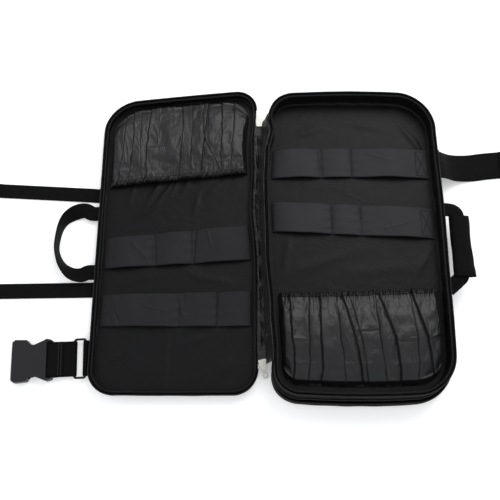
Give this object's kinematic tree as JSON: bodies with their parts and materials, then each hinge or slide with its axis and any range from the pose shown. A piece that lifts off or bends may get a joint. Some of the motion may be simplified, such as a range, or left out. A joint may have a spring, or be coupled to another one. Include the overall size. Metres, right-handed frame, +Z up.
{
  "type": "knife roll bag",
  "caption": "Soft knife bag unzipped flat like a book: shallow cover and deep tray with elastic loops, gathered pockets, straps, carrying handle and buckle socket.",
  "frame": {"origin": "centre of the bounding box in plan, at the surface the open bag lies on", "axes": "+X from the cover to the tray along the straps, +Y away from the viewer along the spine, +Z up"},
  "size_m": [0.77, 0.4722, 0.0531],
  "materials": {
    "shell_cloth": "black coated nylon",
    "lining_cloth": "black nylon lining",
    "pocket_cloth": "satin black nylon",
    "band_cloth": "wide woven elastic",
    "webbing": "black webbing",
    "piping": "black bound edge",
    "zip_tape": "zip tape and coil",
    "buckle_plastic": "moulded",
    "ring_plastic": "moulded",
    "nickel": "plated"
  },
  "bodies": {
    "bag": {"back_pouch_shell": "shell_cloth", "tray_shell": "shell_cloth", "cover_shell": "shell_cloth", "spine_panel": "shell_cloth", "tray_lining": "lining_cloth", "cover_lining": "lining_cloth", "tray_pocket": "pocket_cloth", "tray_pocket_elastic": "pocket_cloth", "cover_pocket": "pocket_cloth", "cover_pocket_elastic": "pocket_cloth", "tray_band_upper": "band_cloth", "tray_band_lower": "band_cloth", "cover_band_upper": "band_cloth", "cover_band_lower": "band_cloth", "tray_strap": "webbing", "cover_strap_upper": "webbing", "cover_strap_lower": "webbing", "cover_handle": "webbing", "ring_tab": "webbing", "buckle_strap": "webbing", "grip_webbing": "webbing", "grip_wrap": "webbing", "back_pouch_binding": "piping", "tray_binding": "piping", "cover_binding": "piping", "back_pouch_zip_tape": "zip_tape", "tray_zip_tape": "zip_tape", "cover_zip_tape": "zip_tape", "buckle_socket": "buckle_plastic", "strap_ring": "ring_plastic", "zip_slider_upper": "nickel", "zip_slider_lower": "nickel"},
    "pull_upper": {"zip_pull_upper": "nickel"},
    "pull_lower": {"zip_pull_lower": "nickel"}
  },
  "joints": [
    {"name": "pull_upper_swing", "type": "hinge", "parent": "bag", "child": "pull_upper", "pos_m": [0.015, 0.18139, 0.009], "axis": [-1, 0, 0], "range_deg": [0, 22]},
    {"name": "pull_lower_swing", "type": "hinge", "parent": "bag", "child": "pull_lower", "pos_m": [0.01859, -0.18493, 0.009], "axis": [-0.9703, -0.2419, 0], "range_deg": [0, 38]}
  ]
}
